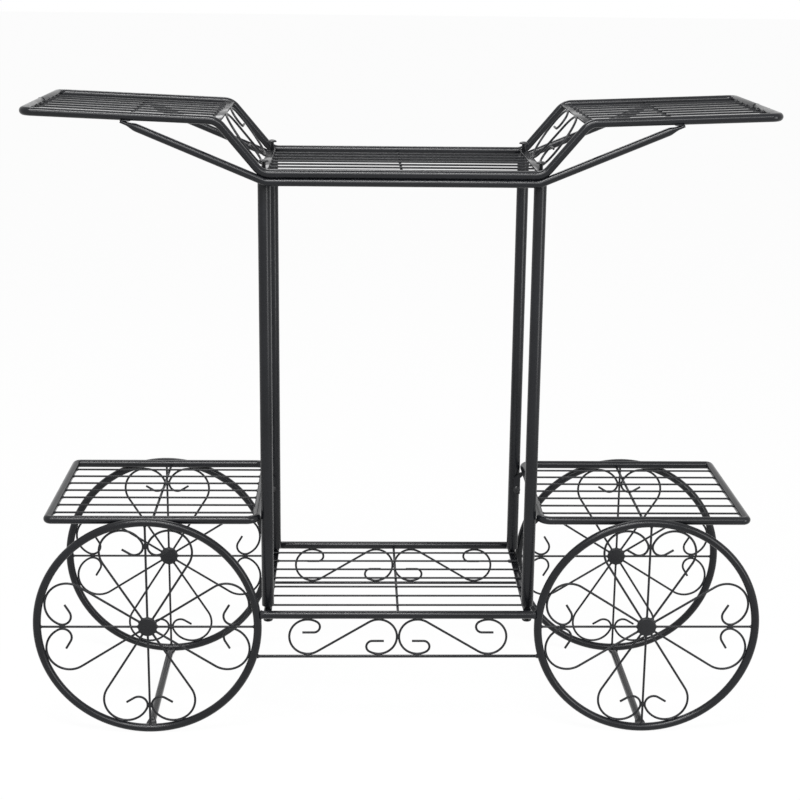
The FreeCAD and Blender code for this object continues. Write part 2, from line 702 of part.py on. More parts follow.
shank, length = size("bolt_shank") / 2, size("bolt_length")
head, head_high = size("bolt_head") / 2, size("bolt_head_height")
bolt = turned([(shank, -length), (shank, 0), (head, 0), (head, head_high / 3),
               (head * 0.75, head_high * 0.8), (head * 0.35, head_high)])
top_seat = upper_bar_z + bar_thick / 2 + size("top_bolt_stand")
low_seat = lower_bar_z - bar_thick / 2 - size("low_bolt_stand")
top_bolt = moved(bolt, Placement(Vector(post_x, post_y, top_seat), Rotation()))
low_bolt = moved(bolt, Placement(Vector(post_x, post_y, low_seat), Rotation(X_AXIS, 180)))
shape_node("top_post_bolts", four_corners(top_bolt))
shape_node("lower_post_bolts", four_corners(low_bolt))


# ---------------------------------------------------------------- check and write

doc.recompute()
for thing in doc.Objects:
    if "Invalid" in thing.State or "Error" in thing.State:
        raise RuntimeError("%s did not rebuild: %s" % (thing.Name, thing.State))
if len({node.Label for node in nodes}) != len(nodes):
    raise RuntimeError("two sub-parts share a label")
for node in nodes:
    shape = node.Shape
    if shape.isNull() or not shape.isValid() or not shape.Solids:
        raise RuntimeError("%s has no valid solid" % node.Label)

os.makedirs("parts", exist_ok=True)
for node in nodes:
    node.Shape.exportStep("parts/%s.step" % node.Label)
print("%d sub-parts written" % len(nodes))
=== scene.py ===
import bpy
import numpy as np
from mathutils import Matrix, Vector


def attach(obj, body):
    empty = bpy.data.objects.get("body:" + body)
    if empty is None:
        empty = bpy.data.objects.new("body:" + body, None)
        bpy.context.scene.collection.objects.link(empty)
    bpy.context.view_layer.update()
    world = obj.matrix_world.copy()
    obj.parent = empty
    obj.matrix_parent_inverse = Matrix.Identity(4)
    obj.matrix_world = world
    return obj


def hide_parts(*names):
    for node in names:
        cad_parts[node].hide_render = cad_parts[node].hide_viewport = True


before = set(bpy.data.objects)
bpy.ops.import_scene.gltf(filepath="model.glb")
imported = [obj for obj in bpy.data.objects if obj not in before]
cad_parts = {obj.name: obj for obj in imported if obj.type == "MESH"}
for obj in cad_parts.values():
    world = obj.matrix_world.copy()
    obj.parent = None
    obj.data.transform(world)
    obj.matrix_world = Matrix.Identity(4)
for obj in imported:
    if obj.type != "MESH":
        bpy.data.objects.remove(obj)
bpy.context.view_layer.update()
MM = 0.001
X, Y, Z = np.eye(3)

# ------------------------------------------------------------------ the two long top rails
# Two steel tubes carry the top shelf, one in front and one behind, each bent in one piece from
# wing tip to wing tip and butt welded to the other half way along the tips.

TOP_R = 6.35 * MM
TOP_Y = 157.5 * MM
TIP_X = 555 * MM - TOP_R
BEND_X, BEND_Z = 270.5 * MM, 959.5 * MM
TIP_Z = 970.5 * MM
LOW_BEND_X = 206 * MM
SHELF_Z = 883 * MM
TIP_BEND_R, SLOPE_BEND_R = 13 * MM, 26 * MM
WING_RISE = (TIP_Z - BEND_Z) / (TIP_X - BEND_X)


def unit(v):
    """Each row of an array of vectors, made one long."""
    return v / np.linalg.norm(v, axis=-1, keepdims=True)


def bent_line(corners, radii, turn_step=0.1):
    """Centre line of a bent tube, as rows of points: straight runs between the corners, with
    each corner cut off by the arc of its radius that touches both runs."""
    corners = np.asarray(corners, float)
    rows = []
    for i, (corner, radius) in enumerate(zip(corners, radii)):
        if radius == 0:
            rows.append(corner[None])
            continue
        back = unit(corners[i - 1] - corner)
        ahead = unit(corners[(i + 1) % len(corners)] - corner)
        half = np.arccos(np.clip(back @ ahead, -1, 1)) / 2
        centre = corner + unit(back + ahead) * radius / np.sin(half)
        outward = unit(corner + back * radius / np.tan(half) - centre)
        turn = np.pi - 2 * half
        angle = np.linspace(0, turn, max(3, int(turn / turn_step) + 2))[:, None]
        rows.append(centre + radius * (np.cos(angle) * outward - np.sin(angle) * back))
    return np.concatenate(rows)


def directions(line, loop=False):
    """Direction of a line at each of its points: the mean of the runs before and after it."""
    runs = unit(np.roll(line, -1, axis=0) - line)
    before = np.roll(runs, 1, axis=0)
    if not loop:
        runs[-1] = before[-1]
        before[0] = runs[0]
    return unit(runs + before)


def tube_rings(line, radius, side, count=20, loop=False):
    """Surface of a round tube: line(s) + radius (cos a n(s) + sin a b(s)), where n is the side
    vector made square to the line and b is square to both. Open ends are cut square, with the
    edge slightly rounded."""
    line = np.asarray(line, float)
    radii = np.full(len(line), radius)
    if not loop:
        first, last = unit(line[1] - line[0]), unit(line[-2] - line[-1])
        run_in = np.array([0.0, 0.08, 0.3])[:, None] * radius
        line = np.concatenate([line[0] + first * run_in, line[1:-1],
                               line[-1] + last * run_in[::-1]])
        radii = np.full(len(line), radius)
        radii[[0, -1]] *= 0.80
        radii[[1, -2]] *= 0.94
    ahead = directions(line, loop)
    n = unit(side - (ahead @ side)[:, None] * ahead)
    b = np.cross(ahead, n)
    a = np.linspace(0, 2 * np.pi, count, endpoint=False)[None, :, None]
    around = np.cos(a) * n[:, None] + np.sin(a) * b[:, None]
    return line[:, None] + radii[:, None, None] * around


def skin(rings, loop=False):
    """Points and faces of a closed surface through rings (n, m, 3): four-sided faces between
    neighbouring rings, and a fan to a pole in the middle of each end ring, or for a loop the
    last ring joined to the first."""
    n, m, _ = rings.shape
    points = rings.reshape(-1, 3)
    i = np.arange(n if loop else n - 1)[:, None]
    j = np.arange(m)[None]
    near, far, j2 = i * m, (i + 1) % n * m, (j + 1) % m
    quads = np.stack([near + j, near + j2, far + j2, far + j], -1).reshape(-1, 4)
    if loop:
        return points, quads, np.zeros((0, 3), int)
    points = np.concatenate([points, rings[[0, -1]].mean(axis=1)])
    j, j2 = j[0], j2[0]
    start = np.stack([np.full(m, n * m), j2, j], -1)
    end = np.stack([np.full(m, n * m + 1), (n - 1) * m + j, (n - 1) * m + j2], -1)
    return points, quads, np.concatenate([start, end])


def make_piece(name, skins, material, nodes=()):
    """One object from several closed surfaces, riding on the stand."""
    points, loops, sizes, base = [], [], [], 0
    for p, quads, tris in skins:
        points.append(p)
        loops += [(quads + base).ravel(), (tris + base).ravel()]
        sizes += [np.full(len(quads), 4), np.full(len(tris), 3)]
        base += len(p)
    points, loops, sizes = np.concatenate(points), np.concatenate(loops), np.concatenate(sizes)
    mesh = bpy.data.meshes.new(name)
    mesh.vertices.add(len(points))
    mesh.vertices.foreach_set("co", points.ravel().astype(np.float32))
    mesh.loops.add(len(loops))
    mesh.loops.foreach_set("vertex_index", loops.astype(np.int32))
    mesh.polygons.add(len(sizes))
    starts = np.concatenate([[0], np.cumsum(sizes)[:-1]])
    mesh.polygons.foreach_set("loop_start", starts.astype(np.int32))
    mesh.polygons.foreach_set("use_smooth", np.ones(len(sizes), bool))
    mesh.update(calc_edges=True)
    mesh.validate()
    piece = bpy.data.objects.new(name, mesh)
    bpy.context.scene.collection.objects.link(piece)
    mesh.materials.append(material)
    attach(piece, "root")
    if nodes:
        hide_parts(*nodes)
    return piece


def black_coat(name, tone, gloss, peel_scale, peel_depth, dust):
    """Black powder coat on steel: an almost black colour that drifts a little from place to
    place, a clear sheen, the fine pebble of a baked coat, and a trace of pale dust on top."""
    material = bpy.data.materials.new(name)
    material.use_nodes = True
    tree = material.node_tree
    shader = tree.nodes["Principled BSDF"]
    place = tree.nodes.new("ShaderNodeTexCoord").outputs["Object"]

    def noise(scale, detail):
        node = tree.nodes.new("ShaderNodeTexNoise")
        node.inputs["Scale"].default_value = scale
        node.inputs["Detail"].default_value = detail
        tree.links.new(place, node.inputs["Vector"])
        return node.outputs["Fac"]

    def spread(value, low, high, out_low, out_high):
        node = tree.nodes.new("ShaderNodeMapRange")
        for socket, number in zip(("From Min", "From Max", "To Min", "To Max"),
                                  (low, high, out_low, out_high)):
            node.inputs[socket].default_value = number
        tree.links.new(value, node.inputs["Value"])
        return node.outputs["Result"]

    drift = spread(noise(9, 2), 0.3, 0.7, 0.0, 1.0)
    colour = tree.nodes.new("ShaderNodeMix")
    colour.data_type = "RGBA"
    colour.inputs["A"].default_value = (*[0.8 * c for c in tone], 1)
    colour.inputs["B"].default_value = (*[1.2 * c for c in tone], 1)
    tree.links.new(drift, colour.inputs["Factor"])

    normal = tree.nodes.new("ShaderNodeNewGeometry").outputs["Normal"]
    upward = tree.nodes.new("ShaderNodeSeparateXYZ")
    tree.links.new(normal, upward.inputs["Vector"])
    lying = spread(upward.outputs["Z"], 0.3, 1.0, 0.0, dust)
    specks = spread(noise(260, 4), 0.45, 0.75, 0.0, 1.0)
    settled = tree.nodes.new("ShaderNodeMath")
    settled.operation = "MULTIPLY"
    tree.links.new(lying, settled.inputs[0])
    tree.links.new(specks, settled.inputs[1])
    dusty = tree.nodes.new("ShaderNodeMix")
    dusty.data_type = "RGBA"
    dusty.inputs["B"].default_value = (0.32, 0.31, 0.30, 1)
    tree.links.new(settled.outputs["Value"], dusty.inputs["Factor"])
    tree.links.new(colour.outputs["Result"], dusty.inputs["A"])
    tree.links.new(dusty.outputs["Result"], shader.inputs["Base Color"])

    rough = spread(noise(60, 3), 0.3, 0.7, gloss - 0.04, gloss + 0.05)
    tree.links.new(rough, shader.inputs["Roughness"])
    bump = tree.nodes.new("ShaderNodeBump")
    bump.inputs["Distance"].default_value = peel_depth
    bump.inputs["Strength"].default_value = 0.08
    tree.links.new(noise(peel_scale, 3), bump.inputs["Height"])
    tree.links.new(bump.outputs["Normal"], shader.inputs["Normal"])
    shader.inputs["Specular IOR Level"].default_value = 0.25
    return material


tube_coat = black_coat("black_coat_on_tube", (0.006, 0.0065, 0.008), 0.20, 900, 0.00008, 0.01)


def top_rail_line(side):
    """Centre line of a long top rail, from the middle of one wing tip to that of the other."""
    half = [(TIP_X, 0, TIP_Z), (TIP_X, side * TOP_Y, TIP_Z), (BEND_X, side * TOP_Y, BEND_Z),
            (LOW_BEND_X, side * TOP_Y, SHELF_Z)]
    corners = half + [(-x, y, z) for x, y, z in reversed(half)]
    radii = [0, TIP_BEND_R, SLOPE_BEND_R, SLOPE_BEND_R]
    return bent_line(corners, radii + radii[::-1])


for word, side in (("front", -1), ("rear", 1)):
    rings = tube_rings(top_rail_line(side), TOP_R, Z, count=28)
    make_piece(word + "_top_rail_tube", [skin(rings)], tube_coat, [word + "_top_rail"])

# ------------------------------------------------------------------ flat bars
# Short lengths of flat bar tie the front rails to the rear ones at the two bends of the top
# shelf and under the lower shelf. They are sheared off square, and their edges are broken.

BAR_HALF, BAR_THICK = 6 * MM, 3 * MM
BAR_EDGE = 0.5 * MM
SINK = 0.6 * MM
POST_X, POST_Y, POST_R = 204 * MM, 132 * MM, 9.5 * MM
UPPER_BAR_Z = SHELF_Z + 2.5 * MM
LOWER_RAIL_Z = 197.5 * MM
LOWER_BAR_Z = LOWER_RAIL_Z - 2.5 * MM
BEND_BAR_Z = BEND_Z - 1.0 * MM
PANEL_Y = 160 * MM
FRAME_R = 6.35 * MM


def rounded_rectangle(half_wide, half_thick, edge, steps=4):
    """Outline of a bar, as rows of (across, up): four quarter rounds at its corners."""
    quarter = np.linspace(0, np.pi / 2, steps)
    rows = []
    for k, (sx, sy) in enumerate(((1, 1), (-1, 1), (-1, -1), (1, -1))):
        a = quarter + k * np.pi / 2
        rows.append(np.stack([sx * (half_wide - edge) + edge * np.cos(a),
                              sy * (half_thick - edge) + edge * np.sin(a)], -1))
    return np.concatenate(rows)


def bar_rings(start, end, across, up, half_wide, half_thick, edge):
    """A bar: its rounded outline carried straight from start to end, drawn in a little at
    both ends so that these edges are broken too."""
    start, end = np.asarray(start, float), np.asarray(end, float)
    ahead = unit(end - start)
    rings = []
    for place, inset in ((start, edge), (start + ahead * edge, 0), (end - ahead * edge, 0),
                         (end, edge)):
        outline = rounded_rectangle(half_wide - inset, half_thick - inset, edge)
        rings.append(place + outline[:, :1] * across + outline[:, 1:] * up)
    return np.array(rings)


bar_coat = black_coat("black_coat_on_flat_bar", (0.008, 0.0085, 0.010), 0.18, 700, 0.00006, 0.01)
for word, side in (("left", -1), ("right", 1)):
    for part, x, z, rail_y, rail_r in (
            ("wing_bend_bar", BEND_X, BEND_BAR_Z, TOP_Y, TOP_R),
            ("upper_post_bar", POST_X, UPPER_BAR_Z, TOP_Y, TOP_R),
            ("lower_post_bar", POST_X, LOWER_BAR_Z, PANEL_Y, FRAME_R)):
        reach = rail_y - rail_r + (0 if part == "upper_post_bar" else SINK)
        rings = bar_rings((side * x, -reach, z), (side * x, reach, z), -X, Z,
                          BAR_HALF, BAR_THICK / 2, BAR_EDGE)
        node = "%s_%s" % (word, part)
        make_piece(node + "_flat", [skin(rings)], bar_coat, [node])

# ------------------------------------------------------------------ shelf slats and cross wires
# Every shelf is filled with straight steel wires along its length, welded at both ends, with
# one thicker wire across under their middles.

SLAT_R, CROSS_R = 1.6 * MM, 2.0 * MM
SLAT_COUNT = 7
TOP_PITCH, LOWER_PITCH, SIDE_PITCH = 36 * MM, 40 * MM, 37.5 * MM
SIDE_Y = PANEL_Y - 2 * FRAME_R + SINK
SIDE_Z = 348.67 * MM
SIDE_IN, SIDE_OUT = 220.35 * MM, 541 * MM

wire_coat = black_coat("black_coat_on_wire", (0.007, 0.0075, 0.009), 0.40, 1400, 0.00003, 0.01)


def slat_rows(pitch):
    """Distances of a shelf's slats from its middle line."""
    return (np.arange(SLAT_COUNT) - (SLAT_COUNT - 1) / 2) * pitch


def slat_skins(start, end, pitch):
    """The slats of one shelf, which run from the start to the end, both given as (x, z)."""
    skins = []
    for y in slat_rows(pitch):
        line = np.array([(start[0], y, start[1]), (end[0], y, end[1])], float)
        middle = line.mean(axis=0)
        skins.append(skin(tube_rings(np.array([line[0], middle, line[1]]), SLAT_R, Y, count=12)))
    return skins


def cross_skin(x, slat_z, reach):
    """The thicker wire across, welded under the slats, which reaches equally far each way."""
    z = slat_z - (SLAT_R + CROSS_R - SINK / 2)
    line = np.array([(x, -reach, z), (x, 0, z), (x, reach, z)], float)
    return skin(tube_rings(line, CROSS_R, X, count=14))


def wing_z(x):
    """Height of a wing at a distance x from the middle of the stand."""
    return BEND_Z + (x - BEND_X) * WING_RISE


UPPER_SLAT_Z = UPPER_BAR_Z - BAR_THICK / 2 - SLAT_R + SINK / 2
LOWER_SLAT_Z = LOWER_BAR_Z + BAR_THICK / 2 + SLAT_R - SINK / 2
slat_end = POST_X + BAR_HALF / 2
make_piece("centre_shelf_slat_wires",
           slat_skins((-slat_end, UPPER_SLAT_Z), (slat_end, UPPER_SLAT_Z), TOP_PITCH),
           wire_coat, ["centre_shelf_slats"])
make_piece("lower_shelf_slat_wires",
           slat_skins((-slat_end, LOWER_SLAT_Z), (slat_end, LOWER_SLAT_Z), LOWER_PITCH),
           wire_coat, ["lower_shelf_slats"])
make_piece("centre_shelf_wire_across", [cross_skin(0, UPPER_SLAT_Z, TOP_Y - TOP_R + SINK)],
           wire_coat, ["centre_shelf_cross_wire"])
make_piece("lower_shelf_wire_across", [cross_skin(0, LOWER_SLAT_Z, PANEL_Y - FRAME_R + SINK)],
           wire_coat, ["lower_shelf_cross_wire"])
CROSS_X = 402 * MM
for word, side in (("left", -1), ("right", 1)):
    inner, outer = BEND_X + BAR_HALF - SINK, TIP_X - TOP_R + SINK
    make_piece(word + "_wing_slat_wires",
               slat_skins((side * inner, wing_z(inner)), (side * outer, wing_z(outer)),
                          TOP_PITCH),
               wire_coat, [word + "_wing_slats"])
    make_piece(word + "_wing_wire_across",
               [cross_skin(side * CROSS_X, wing_z(CROSS_X), TOP_Y - TOP_R + SINK)],
               wire_coat, [word + "_wing_cross_wire"])
    inner, outer = SIDE_IN + FRAME_R - SINK, SIDE_OUT - FRAME_R + SINK
    make_piece(word + "_side_shelf_slat_wires",
               slat_skins((side * inner, SIDE_Z), (side * outer, SIDE_Z), SIDE_PITCH),
               wire_coat, [word + "_side_shelf_slats"])
    make_piece(word + "_side_shelf_wire_across",
               [cross_skin(side * (SIDE_IN + SIDE_OUT) / 2, SIDE_Z, SIDE_Y - FRAME_R + SINK)],
               wire_coat, [word + "_side_shelf_cross_wire"])

# ------------------------------------------------------------------ braces under the top shelf
# A thinner tube runs under each top rail and slopes up to the wings. Its two ends are squeezed
# flat in a press and welded under the wing rails.

BRACE_R = 6 * MM
BRACE_REACH = 408 * MM
BRACE_BEND_R = 22 * MM
PRESS_HALF_THICK, PRESS_HALF_WIDE, PRESS_LENGTH = 2 * MM, 8.25 * MM, 16 * MM


def pressed_tube_rings(line, radius, wide, count=24):
    """A round tube whose ends are squeezed flat: the ring's height goes from the full radius to
    half the pressed thickness, and its width grows, as a smooth step over one pressed length."""
    first, last = unit(line[1] - line[0]), unit(line[-2] - line[-1])
    inward = np.linspace(0, 2, 13)[:, None] * PRESS_LENGTH
    line = np.concatenate([line[0] + first * inward, line[1:-1], line[-1] + last * inward[::-1]])
    from_end = np.minimum(np.linalg.norm(line - line[0], axis=1),
                          np.linalg.norm(line - line[-1], axis=1))
    t = np.clip(from_end / PRESS_LENGTH - 0.5, 0, 1)
    t = (t * t * (3 - 2 * t))[:, None]
    ahead = directions(line)
    n = unit(wide - (ahead @ wide)[:, None] * ahead)
    b = np.cross(ahead, n)
    a = np.linspace(0, 2 * np.pi, count, endpoint=False)[None]
    power = 0.35 + 0.65 * t
    across = np.sign(np.cos(a)) * np.abs(np.cos(a)) ** power
    up = np.sign(np.sin(a)) * np.abs(np.sin(a)) ** power
    half_wide = PRESS_HALF_WIDE + (radius - PRESS_HALF_WIDE) * t
    half_thick = PRESS_HALF_THICK + (radius - PRESS_HALF_THICK) * t
    return (line[:, None] + (half_wide * across)[..., None] * n[:, None]
            + (half_thick * up)[..., None] * b[:, None])


def brace_line(side):
    """Centre line of a brace, from one pressed end to the other."""
    level = SHELF_Z - TOP_R - BRACE_R + SINK / 2
    end_z = wing_z(BRACE_REACH) - TOP_R - PRESS_HALF_THICK + SINK
    bend = LOW_BEND_X - BRACE_R
    y = side * TOP_Y
    corners = [(-BRACE_REACH, y, end_z), (-bend, y, level), (bend, y, level),
               (BRACE_REACH, y, end_z)]
    return bent_line(corners, [0, BRACE_BEND_R, BRACE_BEND_R, 0])


for word, side in (("front", -1), ("rear", 1)):
    rings = pressed_tube_rings(brace_line(side), BRACE_R, Y)
    make_piece(word + "_brace_tube", [skin(rings)], tube_coat, [word + "_brace"])

# ------------------------------------------------------------------ wheels
# Each wheel is a hoop of tube with a thick round disc at its hub, four straight wire spokes,
# and four hearts, each of two wires bent round a former and spot welded to spoke and hoop.

RIM_R = 171.15 * MM
HUB_X, HUB_Z = 390 * MM, 177.52 * MM
WIRE_R = 1.8 * MM
HUB_R, HUB_HALF = 15 * MM, 3.5 * MM
HEART_BEND, HEART_CURL = 35 * MM, 13.8 * MM
HEART_LEAN = np.radians(16.5)
HEART_TAIL, HEART_TAIL_TURN = 14 * MM, np.radians(31)


def arc(centre, radius, start, end, step=0.1):
    """Points round an arc in the upright plane: centre + radius (cos a, 0, sin a)."""
    a = np.linspace(start, end, max(3, int(abs(end - start) / step) + 1))
    flat = np.stack([np.cos(a), np.zeros_like(a), np.sin(a)], -1)
    return np.asarray(centre) + radius * flat


def tidy_line(*pieces):
    """Points of a line from pieces that follow each other, without repeated points."""
    line = np.concatenate([np.atleast_2d(p) for p in pieces])
    keep = np.linalg.norm(np.diff(line, axis=0), axis=1) > 1e-7
    return line[np.concatenate([[True], keep])]


def half_heart_line():
    """A straight wire out from the hub, a large bend that touches the hoop, a small curl that
    touches the spoke, and a short straight tail."""
    reach = RIM_R - FRAME_R - WIRE_R - HEART_BEND + SINK / 2
    big = reach * np.array([np.sin(HEART_LEAN), 0, np.cos(HEART_LEAN)])
    curl_x = HEART_CURL + 2 * WIRE_R - SINK / 3
    rise = np.sqrt((HEART_BEND - HEART_CURL) ** 2 - (big[0] - curl_x) ** 2)
    small = np.array([curl_x, 0, big[2] + rise])
    line_angle = np.pi / 2 - HEART_LEAN - np.arcsin(HEART_BEND / reach)
    away = np.array([np.cos(line_angle), 0, np.sin(line_angle)])
    join = np.arctan2(small[2] - big[2], small[0] - big[0])
    release = 3 * np.pi / 2 + HEART_TAIL_TURN
    curl = arc(small, HEART_CURL, join, release)
    onward = np.array([-np.sin(release), 0, np.cos(release)])
    return tidy_line(away * (HUB_R - SINK), arc(big, HEART_BEND, line_angle - np.pi / 2, join),
                     curl, curl[-1] + onward * HEART_TAIL)


def quarter_turn(points, quarters):
    """Points turned about the wheel's axle by quarter turns."""
    a = quarters * np.pi / 2
    turn = np.array([[np.cos(a), 0, -np.sin(a)], [0, 1, 0], [np.sin(a), 0, np.cos(a)]])
    return points @ turn.T


def lathe_rings(origin, axis, side, profile, count=28):
    """A turned piece: origin + axis h + r (cos a u + sin a v) for each row (r, h) of the
    profile."""
    profile = np.asarray(profile, float)
    v = np.cross(axis, side)
    a = np.linspace(0, 2 * np.pi, count, endpoint=False)[None, :, None]
    around = np.cos(a) * side + np.sin(a) * v
    return origin + profile[:, 1][:, None, None] * axis + profile[:, 0][:, None, None] * around


hoop_coat = black_coat("black_coat_on_hoop", (0.006, 0.0065, 0.008), 0.22, 900, 0.00008, 0.01)
disc_coat = black_coat("black_coat_on_hub_disc", (0.009, 0.0095, 0.011), 0.36, 500, 0.00014, 0.04)
half_heart = half_heart_line()
heart_lines = [quarter_turn(half_heart * [s, 1, 1], q) for q in range(4) for s in (1, -1)]
spoke = np.array([(HUB_R - SINK, 0, 0), (RIM_R / 2, 0, 0), (RIM_R - FRAME_R + SINK, 0, 0)])

for depth, y_side in (("front", -1), ("rear", 1)):
    for hand, x_side in (("left", -1), ("right", 1)):
        wheel = "%s_%s_wheel" % (depth, hand)
        centre = np.array([x_side * HUB_X, y_side * PANEL_Y, HUB_Z])
        hoop = centre + arc((0, 0, 0), RIM_R, 0, 2 * np.pi, 0.05)[:-1]
        make_piece(wheel + "_hoop", [skin(tube_rings(hoop, FRAME_R, Y, 20, loop=True), loop=True)],
                   hoop_coat, [wheel + "_rim"])
        profile = [(HUB_R - 1.6 * MM, -HUB_HALF), (HUB_R - 0.5 * MM, -HUB_HALF + 0.4 * MM),
                   (HUB_R, -HUB_HALF + 1.5 * MM), (HUB_R, HUB_HALF - 1.5 * MM),
                   (HUB_R - 0.5 * MM, HUB_HALF - 0.4 * MM), (HUB_R - 1.6 * MM, HUB_HALF)]
        make_piece(wheel + "_hub_disc", [skin(lathe_rings(centre, Y, X, profile, 48))],
                   disc_coat, [wheel + "_hub"])
        spokes = [skin(tube_rings(centre + quarter_turn(spoke, q), WIRE_R, Y, 12))
                  for q in range(4)]
        make_piece(wheel + "_spoke_wires", spokes, wire_coat, [wheel + "_spokes"])
        hearts = [skin(tube_rings(centre + line, WIRE_R, Y, 12)) for line in heart_lines]
        make_piece(wheel + "_heart_wires", hearts, wire_coat, [wheel + "_hearts"])

# ------------------------------------------------------------------ tubes between the wheels
# A tube joins each front wheel to the rear one at the floor; its pressed ends are welded to the
# inner sides of the hoops.

CROSS_TUBE_R = 6 * MM
for word, side in (("left", -1), ("right", 1)):
    reach = PANEL_Y - FRAME_R + SINK
    line = np.array([(side * HUB_X, y, HUB_Z - RIM_R) for y in (-reach, 0, reach)], float)
    make_piece(word + "_floor_tube", [skin(pressed_tube_rings(line, CROSS_TUBE_R, X))],
               tube_coat, [word + "_wheel_cross_tube"])

# ------------------------------------------------------------------ lower rails and scrolls
# Between the wheels of each panel run a tube and, under it, a wire, with two mirrored S scrolls
# of bent wire between them.

LOWER_WIRE_R = 2.4 * MM
LOWER_WIRE_Z = 128 * MM
PANEL_PITCH, PANEL_CURL, PANEL_TAIL = 110.8 * MM, 9.5 * MM, 18 * MM
CURL_START = np.radians(60)


def s_line(radius, pitch, curl, tail):
    """An S along X round the origin: two large rounds a pitch apart joined by a straight
    diagonal that touches both, each with a small curl inside it and a straight tail."""
    right = np.array([pitch / 2, 0, 0])
    leave = np.pi / 2 + np.arcsin(2 * radius / pitch)
    turn_in = CURL_START - np.pi
    curl_centre = right + (radius - curl) * np.array([np.cos(turn_in), 0, np.sin(turn_in)])
    small = arc(curl_centre, curl, turn_in, -1.5 * np.pi)
    half = tidy_line(arc(right, radius, leave, turn_in), small, small[-1] + X * tail)
    return np.concatenate([-half[::-1], half])


def rim_side(z):
    """How far a level member reaches sideways to the inner side of the hoops."""
    return HUB_X - np.sqrt((RIM_R + FRAME_R) ** 2 - (z - HUB_Z) ** 2) + 2 * SINK


gap_top, gap_bottom = LOWER_RAIL_Z - FRAME_R, LOWER_WIRE_Z + LOWER_WIRE_R
PANEL_ROUND = (gap_top - gap_bottom) / 2 - WIRE_R + SINK / 4
PANEL_MID_Z = (gap_top + gap_bottom) / 2
PANEL_S_X = PANEL_ROUND + WIRE_R + PANEL_PITCH / 2 - SINK / 4
panel_s = s_line(PANEL_ROUND, PANEL_PITCH, PANEL_CURL, PANEL_TAIL)

for word, side in (("front", -1), ("rear", 1)):
    y = side * PANEL_Y
    for part, radius, z in (("lower_rail", FRAME_R, LOWER_RAIL_Z),
                            ("lower_wire", LOWER_WIRE_R, LOWER_WIRE_Z)):
        line = np.array([(x, y, z) for x in (-rim_side(z), 0, rim_side(z))], float)
        make_piece("%s_%s_run" % (word, part), [skin(tube_rings(line, radius, Z, 20))],
                   tube_coat, ["%s_%s" % (word, part)])
    skins = []
    for mirror in (1, -1):
        line = (panel_s * [mirror, 1, 1]) + [-mirror * PANEL_S_X, y, PANEL_MID_Z]
        skins.append(skin(tube_rings(line, WIRE_R, Y, 12)))
    make_piece(word + "_panel_scroll_wires", skins, wire_coat, [word + "_panel_scrolls"])

# ------------------------------------------------------------------ scrolls in the slopes
# One large S of bent wire fills each slope of the top shelf, from the bar over the posts to the
# bar at the wing's bend.

SLOPE_PITCH, SLOPE_CURL, SLOPE_TAIL = 104 * MM, 14 * MM, 26 * MM
slope_low = np.array([POST_X + BAR_HALF + WIRE_R - SINK, 0, UPPER_BAR_Z])
slope_high = np.array([BEND_X - BAR_HALF - WIRE_R + SINK, 0, BEND_BAR_Z])
slope_length = np.linalg.norm(slope_high - slope_low)
slope_up = (slope_high - slope_low) / slope_length
slope_s = s_line(slope_length / 2, SLOPE_PITCH, SLOPE_CURL, SLOPE_TAIL)
for word, side in (("left", -1), ("right", 1)):
    mirror = np.array([side, 1, 1])
    up = slope_up * mirror
    line = (slope_low + slope_high) / 2 * mirror
    line = line + slope_s[:, :1] * Y + slope_s[:, 2:] * -up
    facing = np.cross(Y, up)
    make_piece(word + "_slope_scroll_wire", [skin(tube_rings(line, WIRE_R, facing, 14))],
               wire_coat, [word + "_slope_scroll"])

# ------------------------------------------------------------------ side shelves
# Each side shelf has a hoop of tube with softly bent inner corners and tight, pinched outer
# ones. Plates under its inner end are screwed to the posts.

SIDE_OUTER_BEND_R, SIDE_INNER_BEND_R = 7 * MM, 16 * MM

for word, side in (("left", -1), ("right", 1)):
    corners = [((SIDE_IN + SIDE_OUT) / 2, -SIDE_Y), (SIDE_OUT, -SIDE_Y), (SIDE_OUT, SIDE_Y),
               (SIDE_IN, SIDE_Y), (SIDE_IN, -SIDE_Y)]
    corners = [(side * x, y, SIDE_Z) for x, y in corners]
    line = bent_line(corners, [0, SIDE_OUTER_BEND_R, SIDE_OUTER_BEND_R,
                               SIDE_INNER_BEND_R, SIDE_INNER_BEND_R])
    rings = tube_rings(line, FRAME_R, Z, 20, loop=True)
    make_piece(word + "_side_shelf_hoop", [skin(rings, loop=True)],
               tube_coat, [word + "_side_shelf_frame"])

plate_coat = black_coat("black_coat_on_plate", (0.008, 0.0085, 0.010), 0.30, 700, 0.00008, 0.04)
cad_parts["side_shelf_lugs"].data.materials.clear()
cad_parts["side_shelf_lugs"].data.materials.append(plate_coat)

PLATE_THICK = 3 * MM
SCREW_X, SCREW_Z = 208 * MM, 312.67 * MM
screw_coat = black_coat("blackened_screw", (0.016, 0.0165, 0.018), 0.26, 2000, 0.00003, 0.02)
screws = []
for x_side in (-1, 1):
    for y_side in (-1, 1):
        seat = np.array([x_side * SCREW_X, y_side * (POST_Y - POST_R - PLATE_THICK), SCREW_Z])
        profile = np.array([(0.5, 3.3), (3.0, 3.6), (4.0, 3.0), (4.2, 1.4), (5.7, 1.2), (6, 0.8),
                            (6, 0), (2.5, 0), (2.5, -16), (0.5, -16)]) * MM
        rings = lathe_rings(seat, -y_side * Y, X, profile[::-1])
        screws.append(skin(rings))
make_piece("plate_screws", screws, screw_coat, ["lug_screws"])

# ------------------------------------------------------------------ posts and their bolts
# Four round tubes with drawn-in, threaded ends stand between the bars. A bolt with a low
# mushroom head goes into each end and isn't driven home.

